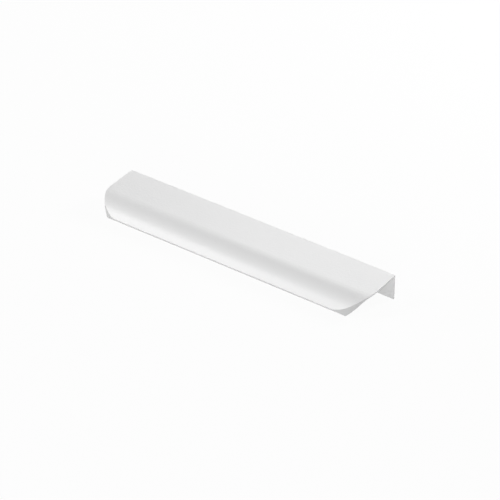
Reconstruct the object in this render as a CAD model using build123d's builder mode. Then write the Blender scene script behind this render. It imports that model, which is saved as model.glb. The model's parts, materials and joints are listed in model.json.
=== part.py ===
"""Edge pull for a drawer or door front: one length of extruded section.

A thin plate lies on the front's edge. Behind it a flange hangs down and is screwed to the back of
the front. Ahead of it the plate bends down and thickens into a blunt lip for the fingers. Both
front corners are cut round in plan, square to the plate.

The pull is stored as it rests unheld: tipped forward onto the flange's foot and the lip.
X runs along the pull, +Y points to its flange, +Z is up, and the origin is on the floor, at the
middle of the pull's outline seen from above.
"""
from build123d import *
from math import atan2, cos, degrees, isclose, radians, sin
import os

# Driving dimensions, in millimetres and degrees
length = 200.0

plate_thickness = 0.8
flat_depth = 25.5
bend_radius = 20.0
lip_slope = 42.5
lip_run = 4.0
lip_thickness = 4.5
lip_face_lean = 37.5

hollow_setback = 0.6
hollow_radius = 9.0
hollow_angle = 40.0

flange_height = 17.8
flange_thickness = 1.0
inside_radius = 0.5
edge_radius = 0.4

corner_radius = 20.0

screw_end_distance = 20.0
screw_hole_diameter = 4.0
countersink_diameter = 5.0
countersink_angle = 90.0

# The lip: the end of the bend, then the front corner, then the lower corner of its leaning face
bend_end = (
    flat_depth + bend_radius * sin(radians(lip_slope)),
    -bend_radius * (1 - cos(radians(lip_slope))),
)
front_corner = (
    bend_end[0] + lip_run * cos(radians(lip_slope)),
    bend_end[1] - lip_run * sin(radians(lip_slope)),
)
lower_corner = (
    front_corner[0] - lip_thickness * sin(radians(lip_face_lean)),
    front_corner[1] - lip_thickness * cos(radians(lip_face_lean)),
)
depth = front_corner[0]

# The section as it is used, in the sketch's own axes: x forward from the rear face, y up from the
# top face. The underside leaves the plate on a small radius and runs to the lip on a large one.
with BuildSketch() as section:
    with BuildLine():
        top_face = Line((0, 0), (flat_depth, 0))
        bend = CenterArc((flat_depth, -bend_radius), bend_radius, 90, -lip_slope)
        slope_face = Line(bend_end, front_corner)
        front_face = Line(front_corner, lower_corner)
        hollow = CenterArc(
            (flat_depth + hollow_setback, -plate_thickness - hollow_radius),
            hollow_radius,
            90 - hollow_angle,
            hollow_angle,
        )
        inner_face = TangentArc(hollow @ 0, lower_corner, tangent=-(hollow % 0))
        Polyline(
            hollow @ 1,
            (flange_thickness, -plate_thickness),
            (flange_thickness, -flange_height),
            (0, -flange_height),
            (0, 0),
        )
    make_face()
    fillet(section.vertices().sort_by_distance((flange_thickness, -plate_thickness))[0], inside_radius)
    for corner in [(0, 0), (0, -flange_height), (flange_thickness, -flange_height)]:
        fillet(section.vertices().sort_by_distance(corner)[0], edge_radius)
    for corner in [front_corner, lower_corner]:
        fillet(section.vertices().sort_by_distance(corner)[0], edge_radius)

# At rest the rounds at the flange's foot and at the lip's lower corner touch the floor together
rounds = section.edges().filter_by(GeomType.CIRCLE).filter_by(lambda edge: isclose(edge.radius, edge_radius))
foot_round = rounds.sort_by_distance((flange_thickness, -flange_height))[0].arc_center
lip_round = rounds.sort_by_distance(lower_corner)[0].arc_center
tip_angle = degrees(atan2(lip_round.Y - foot_round.Y, lip_round.X - foot_round.X))
at_rest = section.sketch.rotate(Axis.Z, -tip_angle).bounding_box()

# The pull's own planes in that pose: the level plate's top face, its right end and its rear face
rear_top = Vector(0, at_rest.center().X, -at_rest.min.Y)
forward = Vector(0, -cos(radians(tip_angle)), -sin(radians(tip_angle)))
upward = Vector(0, -sin(radians(tip_angle)), cos(radians(tip_angle)))
plate_plane = Plane(origin=rear_top, x_dir=(1, 0, 0), z_dir=upward)
end_plane = Plane(origin=rear_top + Vector(length / 2, 0, 0), x_dir=forward, z_dir=(-1, 0, 0))
rear_plane = Plane(origin=rear_top, x_dir=(-1, 0, 0), z_dir=-forward)

with BuildPart() as edge_pull:
    with BuildSketch(end_plane):
        add(section.sketch)
    extrude(amount=length)

    # The plan outline cuts both front corners round
    with BuildSketch(plate_plane) as plan:
        with Locations((0, -depth / 2)):
            Rectangle(length, depth)
        fillet(plan.vertices().group_by(Axis.Y)[0], corner_radius)
    extrude(amount=-flange_height, mode=Mode.INTERSECT)

    # Two screw holes, halfway down the flange's inner face and countersunk from behind
    screw_spacing = length - 2 * screw_end_distance
    screw_height = -(plate_thickness + flange_height) / 2
    with Locations(rear_plane):
        with Locations((-screw_spacing / 2, screw_height), (screw_spacing / 2, screw_height)):
            CounterSinkHole(
                screw_hole_diameter / 2,
                countersink_diameter / 2,
                depth=flange_thickness,
                counter_sink_angle=countersink_angle,
            )

edge_pull.part.label = "edge_pull"

os.makedirs("parts", exist_ok=True)
export_step(edge_pull.part, "parts/edge_pull.step")

print(f"tips forward {tip_angle:.2f} degrees, depth {depth:.2f}, screw spacing {screw_spacing:.1f}")
print("size at rest", edge_pull.part.bounding_box())
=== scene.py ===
"""Dresses the edge pull: its white powder coat, and a plain pale studio round it."""
import json
import logging
import math
from dataclasses import dataclass, field
from enum import Enum

import bmesh
import bpy
from mathutils import Matrix, Vector

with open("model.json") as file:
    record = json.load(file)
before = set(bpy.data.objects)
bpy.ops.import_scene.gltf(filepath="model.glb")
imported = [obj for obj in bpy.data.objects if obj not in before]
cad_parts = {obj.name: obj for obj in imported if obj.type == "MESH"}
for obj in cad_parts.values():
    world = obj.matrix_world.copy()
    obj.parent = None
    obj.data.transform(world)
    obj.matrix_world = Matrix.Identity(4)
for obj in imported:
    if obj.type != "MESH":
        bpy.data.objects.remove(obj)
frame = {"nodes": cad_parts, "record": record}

log = logging.getLogger("edge_pull")

METRE = 1.0
MM = 0.001 * METRE
NOISE_MEAN = 0.5


class Mount(Enum):
    """The pull's flat mounts, whose normals give the directions it is used in."""

    BOARD_BACK = "board_back_face"
    BOARD_EDGE = "board_edge_seat"


def grey(level: float) -> tuple[float, float, float, float]:
    """Makes a neutral colour.

    Args:
        level: Its lightness, from 0 for black to 1 for white.

    Returns:
        The opaque colour.
    """
    return (level, level, level, 1.0)


class Socket:
    """A shader socket that takes part in Python expressions, each of which adds its Math node."""

    def __init__(self, tree: "ShaderTree", output: bpy.types.NodeSocket) -> None:
        """Wraps one output socket.

        Args:
            tree: The tree that new Math nodes go into.
            output: The socket to wrap.
        """
        self.tree = tree
        self.output = output

    def _math(self, operation: str, *values: "Socket | float", clamp: bool = False) -> "Socket":
        """Adds a Math node.

        Args:
            operation: Blender's name of the operation.
            values: The node's inputs in order.
            clamp: Whether the result is kept between 0 and 1.

        Returns:
            The node's result.
        """
        settings = {"operation": operation, "use_clamp": clamp}
        return self.tree.add("ShaderNodeMath", settings, dict(enumerate(values)))

    def __add__(self, other: "Socket | float") -> "Socket":
        """Adds two values."""
        return self._math("ADD", self, other)

    def __radd__(self, other: float) -> "Socket":
        """Adds this value to a number."""
        return self._math("ADD", other, self)

    def __sub__(self, other: "Socket | float") -> "Socket":
        """Takes a value from this one."""
        return self._math("SUBTRACT", self, other)

    def __rsub__(self, other: float) -> "Socket":
        """Takes this value from a number."""
        return self._math("SUBTRACT", other, self)

    def __mul__(self, other: "Socket | float") -> "Socket":
        """Multiplies two values."""
        return self._math("MULTIPLY", self, other)

    def __rmul__(self, other: float) -> "Socket":
        """Multiplies a number by this value."""
        return self._math("MULTIPLY", other, self)

    def __or__(self, other: "Socket") -> "Socket":
        """Takes the larger of two values, which for yes and no is either."""
        return self._math("MAXIMUM", self, other)

    def rise(self, full: float) -> "Socket":
        """Rises evenly with this value from 0 to 1, and stays there.

        Args:
            full: The value that 1 is reached at.

        Returns:
            The rise.
        """
        return self._math("MULTIPLY", self, 1 / full, clamp=True)


class ShaderTree:
    """The node tree of a new material or of the world."""

    def __init__(self, owner: bpy.types.Material | bpy.types.World) -> None:
        """Empties the owner's node tree.

        Args:
            owner: The material or world whose tree this is.
        """
        owner.use_nodes = True
        self.tree = owner.node_tree
        self.tree.nodes.clear()

    def add(
        self,
        kind: str,
        settings: dict[str, object] | None = None,
        inputs: dict[str | int, object] | None = None,
        output: str | int = 0,
    ) -> Socket | None:
        """Adds a node.

        Args:
            kind: The node's type.
            settings: Its properties, which are set first.
            inputs: The value or the socket that each of its inputs takes.
            output: The output to return.

        Returns:
            That output, or None for a node that has no outputs.
        """
        node = self.tree.nodes.new(kind)
        for name, value in (settings or {}).items():
            setattr(node, name, value)
        for name, value in (inputs or {}).items():
            if isinstance(value, Socket):
                self.tree.links.new(value.output, node.inputs[name])
            else:
                node.inputs[name].default_value = value
        return Socket(self, node.outputs[output]) if node.outputs else None


@dataclass(frozen=True)
class PowderCoat:
    """A satin white powder coat with a fine orange peel, duller on the sawn and milled faces, which
    are also painted darker as painted shade.

    Attributes:
        white: The film's lightness.
        milled_shade_white: Its lightness on a milled corner, painted darker as painted shade.
        cloud_size: The width of its faint clouds.
        cloud_depth: How much they change its lightness, as a share.
        cloud_detail: How many finer layers they have.
        roughness: How satin the film is.
        milled_roughness: The same on a milled corner.
        roughness_spread: How much the grain changes either.
        peel_size: The width of the orange peel's lumps.
        peel_height: Their height.
        peel_detail: How many finer layers they have.
        grain_size: The width of the powder's grains.
        grain_height: Their height.
        grain_detail: How many finer layers they have.
        end_finish_and_shade_share: How much of a milled corner's duller film and painted shade a
            sawn end has.
        cut_full: How far a face looks along the pull, squared, where it counts as worked.
        milled_full: How far that falls short of 1 where a worked face counts as milled, not sawn.
        index: The film's index of refraction.
    """

    white: float = 0.84
    # Painted shade: this darker lightness on the milled corners stands in for the shade on them.
    milled_shade_white: float = 0.67
    cloud_size: float = 9.0 * MM
    cloud_depth: float = 0.012
    cloud_detail: float = 2.0
    roughness: float = 0.35
    milled_roughness: float = 0.45
    roughness_spread: float = 0.06
    peel_size: float = 1.4 * MM
    peel_height: float = 0.06 * MM
    peel_detail: float = 2.0
    grain_size: float = 0.12 * MM
    grain_height: float = 0.0015 * MM
    grain_detail: float = 1.0
    # The share of the painted shade and of the duller finish that the sawn ends get.
    end_finish_and_shade_share: float = 0.15
    cut_full: float = 0.04
    milled_full: float = 0.2
    index: float = 1.5

    def build(self) -> bpy.types.Material:
        """Makes the material.

        Returns:
            The finished material.
        """
        material = bpy.data.materials.new("powder_coat")
        tree = ShaderTree(material)
        place = tree.add("ShaderNodeTexCoord", output="Object")
        peel = self._noise(tree, place, self.peel_size, self.peel_detail)
        grain = self._noise(tree, place, self.grain_size, self.grain_detail)
        cloud = self._noise(tree, place, self.cloud_size, self.cloud_detail)
        # Painted shade: the milled corners, and a little of the sawn ends, are painted darker than
        # the coat to stand in for the shade on them; the same mask makes them duller.
        worked_and_shaded = self._worked_and_shaded_faces(tree)
        film = tree.add(
            "ShaderNodeMix",
            {"data_type": "RGBA"},
            {"Factor": worked_and_shaded, "A": grey(self.white), "B": grey(self.milled_shade_white)},
            output="Result",
        )
        shade = 1.0 + (cloud - NOISE_MEAN) * self.cloud_depth
        colour = tree.add("ShaderNodeVectorMath", {"operation": "SCALE"}, {0: film, "Scale": shade})
        relief = peel * self.peel_height + grain * self.grain_height
        bump = tree.add(
            "ShaderNodeBump",
            inputs={"Distance": METRE, "Height": relief},
            output="Normal",
        )
        roughness = self.roughness + worked_and_shaded * (self.milled_roughness - self.roughness)
        surface = tree.add(
            "ShaderNodeBsdfPrincipled",
            inputs={
                "Base Color": colour,
                "Roughness": roughness + (grain - NOISE_MEAN) * self.roughness_spread,
                "IOR": self.index,
                "Normal": bump,
            },
        )
        tree.add("ShaderNodeOutputMaterial", inputs={"Surface": surface})
        return material

    @staticmethod
    def _noise(tree: ShaderTree, place: Socket, size: float, detail: float) -> Socket:
        """Adds a soft noise.

        Args:
            tree: The material's tree.
            place: The object's own coordinates.
            size: The width of its largest lumps, in metres.
            detail: How many finer layers it has.

        Returns:
            The noise, about NOISE_MEAN on average.
        """
        inputs = {"Vector": place, "Scale": 1 / size, "Detail": detail}
        return tree.add("ShaderNodeTexNoise", inputs=inputs)

    def _worked_and_shaded_faces(self, tree: ShaderTree) -> Socket:
        """Finds the faces that were sawn and milled after the drawing, which all look partly along
        the pull; the coat is duller there and painted darker as painted shade.

        Args:
            tree: The material's tree.

        Returns:
            0 on a drawn face, a share on a sawn end, and 1 on a milled corner.
        """
        facing = tree.add("ShaderNodeTexCoord", output="Normal")
        along = tree.add("ShaderNodeSeparateXYZ", inputs={0: facing}, output="X")
        squared = along * along
        worked_and_shaded = squared.rise(self.cut_full)
        milled = (1.0 - squared).rise(self.milled_full)
        # This mask carries the painted shade into the colour and the duller finish into the
        # roughness.
        return worked_and_shaded * (self.end_finish_and_shade_share + milled * (1 - self.end_finish_and_shade_share))


@dataclass(frozen=True)
class PullAxes:
    """The directions and the reference point of the pull as it is used, found in the record.

    Attributes:
        along: Along the pull, to the right of someone who faces its lip.
        forward: From the flange to the lip, level with the plate.
        upward: Square to the plate.
        seat: The middle of the face that lies on the board's edge.
    """

    along: Vector
    forward: Vector
    upward: Vector
    seat: Vector

    @classmethod
    def from_record(cls, record: dict) -> "PullAxes":
        """Reads the directions off the two faces that meet the board.

        Args:
            record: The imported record.

        Returns:
            The axes.
        """
        mounts = {mount["name"]: mount for mount in record["mounts"]}
        back, edge = mounts[Mount.BOARD_BACK.value], mounts[Mount.BOARD_EDGE.value]
        return cls(
            along=Vector((1, 0, 0)),
            forward=Vector(back["axis"]),
            upward=-Vector(edge["axis"]),
            seat=Vector(edge["pos_m"]),
        )

    def point(self, along: float, forward: float, upward: float) -> Vector:
        """Places a point.

        Args:
            along: Metres to the right of the pull's middle.
            forward: Metres ahead of the middle of the board's seat.
            upward: Metres above the board's seat.

        Returns:
            The point in the shared frame.
        """
        return self.seat + self.along * along + self.forward * forward + self.upward * upward

    def direction(self, azimuth: float, elevation: float) -> Vector:
        """Turns two angles to a direction.

        Args:
            azimuth: Degrees to the right of straight ahead of the pull.
            elevation: Degrees above its plate.

        Returns:
            A unit vector that points away from the pull.
        """
        side, rise = math.radians(azimuth), math.radians(elevation)
        level = self.along * math.sin(side) + self.forward * math.cos(side)
        return level * math.cos(rise) + self.upward * math.sin(rise)


@dataclass
class EdgePull:
    """The pull itself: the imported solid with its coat.

    Attributes:
        name: The solid's node.
        coat: Its finish.
    """

    name: str = "edge_pull"
    coat: PowderCoat = field(default_factory=PowderCoat)

    def dress(self) -> None:
        """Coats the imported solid."""
        piece = frame["nodes"][self.name]
        piece.data.materials.clear()
        piece.data.materials.append(self.coat.build())
        log.info("%s: coated", piece.name)


@dataclass(frozen=True)
class SoftBox:
    """One square studio lamp that faces the pull.

    Attributes:
        name: The lamp's name.
        azimuth: Degrees to the right of straight ahead of the pull.
        elevation: Degrees above its plate.
        power: Watts.
        distance: Metres from the pull.
        side: Its width and height in metres.
        mirrored: Whether the coat's gloss mirrors it. One that lights only by its spread light
            leaves no white glare on the plate, from wherever the pull is seen.
    """

    name: str
    azimuth: float
    elevation: float
    power: float
    distance: float = 1.0
    side: float = 0.5
    mirrored: bool = True

    def build(self, axes: PullAxes) -> None:
        """Makes the lamp.

        Args:
            axes: The pull's axes, which its angles are measured from.
        """
        data = bpy.data.lights.new(self.name, "AREA")
        data.shape = "SQUARE"
        data.size = self.side
        data.energy = self.power
        lamp = bpy.data.objects.new(self.name, data)
        away = axes.direction(self.azimuth, self.elevation)
        lamp.visible_glossy = self.mirrored
        lamp.location = axes.point(0, 0, 0) + away * self.distance
        lamp.rotation_mode = "QUATERNION"
        lamp.rotation_quaternion = away.to_track_quat("Z", "Y")
        bpy.context.scene.collection.objects.link(lamp)
        log.info("%s: lit", self.name)


@dataclass
class Studio:
    """White paper under and behind the pull, and soft lamps.

    Attributes:
        floor_side: The floor's width and depth in metres.
        white: How bright the surround looks, where 1 is white.
        floor_white: How bright the floor's own glow is. It is a little over 1, because the lit
            paper that it is mixed with is darker.
        glow_share: How much of that glow is in what is seen. The rest is paper, with its shadow.
        paper: The floor's lightness for the lamps, whose light it throws back at the pull.
        lamps: The lamps.
    """

    floor_side: float = 6.0
    white: float = 1.0
    floor_white: float = 1.03
    glow_share: float = 0.92
    paper: float = 0.56
    lamps: tuple[SoftBox, ...] = (
        SoftBox("rear_strip", azimuth=160, elevation=16, power=6.9, side=0.25, mirrored=False),
        SoftBox("rear_low_box", azimuth=200, elevation=30, power=1.5),
        SoftBox("rear_high_box", azimuth=210, elevation=40, power=1.2),
        SoftBox("left_box", azimuth=-45, elevation=40, power=6.9, distance=1.5),
        SoftBox(
            "left_end_box",
            azimuth=-60,
            elevation=14,
            power=4.5,
            distance=1.5,
            side=0.4,
            mirrored=False,
        ),
        SoftBox("right_box", azimuth=30, elevation=22, power=13.2, distance=1.5, mirrored=False),
    )

    def build(self, axes: PullAxes) -> None:
        """Makes everything round the pull.

        Args:
            axes: The pull's axes, which the lamps are placed by.
        """
        self._surround()
        self._floor()
        for lamp in self.lamps:
            lamp.build(axes)

    def _seen(self, tree: ShaderTree) -> Socket:
        """Finds the rays that should meet white: those seen straight, in a gloss or through glass.

        Args:
            tree: The tree that needs the answer.

        Returns:
            1 for such a ray and 0 for any other.
        """
        camera, gloss, through = (
            tree.add("ShaderNodeLightPath", output=f"Is {kind} Ray")
            for kind in ("Camera", "Glossy", "Transmission")
        )
        return camera | gloss | through

    def _surround(self) -> None:
        """Shows white behind the pull and in its gloss, and leaves the lighting to the lamps."""
        world = bpy.data.worlds.new("surround")
        bpy.context.scene.world = world
        tree = ShaderTree(world)
        strength = self._seen(tree) * self.white
        light = tree.add(
            "ShaderNodeBackground", inputs={"Color": grey(1.0), "Strength": strength}
        )
        tree.add("ShaderNodeOutputWorld", inputs={"Surface": light})
        log.info("%s: shown", world.name)

    def _floor(self) -> None:
        """Lays the paper that the pull rests on, so that it is white but keeps a soft shadow."""
        mesh = bpy.data.meshes.new("floor")
        shape = bmesh.new()
        bmesh.ops.create_grid(shape, x_segments=1, y_segments=1, size=self.floor_side / 2)
        shape.to_mesh(mesh)
        shape.free()
        floor = bpy.data.objects.new("floor", mesh)
        bpy.context.scene.collection.objects.link(floor)
        mesh.materials.append(self._paper())
        log.info("%s: laid", floor.name)

    def _paper(self) -> bpy.types.Material:
        """Makes the floor's paper.

        Returns:
            The finished material.
        """
        material = bpy.data.materials.new("floor_paper")
        tree = ShaderTree(material)
        lit = tree.add("ShaderNodeBsdfDiffuse", inputs={"Color": grey(self.paper)})
        glow = tree.add(
            "ShaderNodeEmission", inputs={"Color": grey(1.0), "Strength": self.floor_white}
        )
        share = self._seen(tree) * self.glow_share
        both = tree.add("ShaderNodeMixShader", inputs={0: share, 1: lit, 2: glow})
        tree.add("ShaderNodeOutputMaterial", inputs={"Surface": both})
        return material


@dataclass(frozen=True)
class PhotoCamera:
    """The camera of the reference view, by angles to the pull as it is used.

    Attributes:
        azimuth: Degrees to the right of straight ahead of the pull.
        elevation: Degrees above its plate.
        distance: Metres from the point that it is aimed at.
        lens: Focal length in millimetres.
        sensor: The sensor's width in millimetres.
        aim: The point in the middle of the view, by the pull's axes.
    """

    azimuth: float = 35.149
    elevation: float = 35.406
    distance: float = 1456.64 * MM
    lens: float = 168.97
    sensor: float = 36.0
    aim: tuple[float, float, float] = (4.591 * MM, 6.313 * MM, -10.005 * MM)

    def build(self, axes: PullAxes) -> None:
        """Makes the camera, level with the plate, and turned with the pull as it tipped.

        Args:
            axes: The pull's axes.
        """
        data = bpy.data.cameras.new("photo")
        data.lens = self.lens
        data.sensor_width = self.sensor
        camera = bpy.data.objects.new("photo", data)
        back = axes.direction(self.azimuth, self.elevation)
        right = axes.upward.cross(back).normalized()
        turn = Matrix((right, back.cross(right), back)).transposed()
        camera.rotation_mode = "QUATERNION"
        camera.rotation_quaternion = turn.to_quaternion()
        camera.location = axes.point(*self.aim) + back * self.distance
        bpy.context.scene.collection.objects.link(camera)
        bpy.context.scene.camera = camera
        log.info("%s: aimed", camera.name)


def main() -> None:
    """Builds the dressed pull, its studio and its camera."""
    logging.basicConfig(level=logging.INFO, format="%(message)s")
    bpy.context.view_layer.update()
    axes = PullAxes.from_record(frame["record"])
    EdgePull().dress()
    Studio().build(axes)
    PhotoCamera().build(axes)
    bpy.context.scene.view_settings.view_transform = "Standard"


if __name__ == "__main__":
    main()
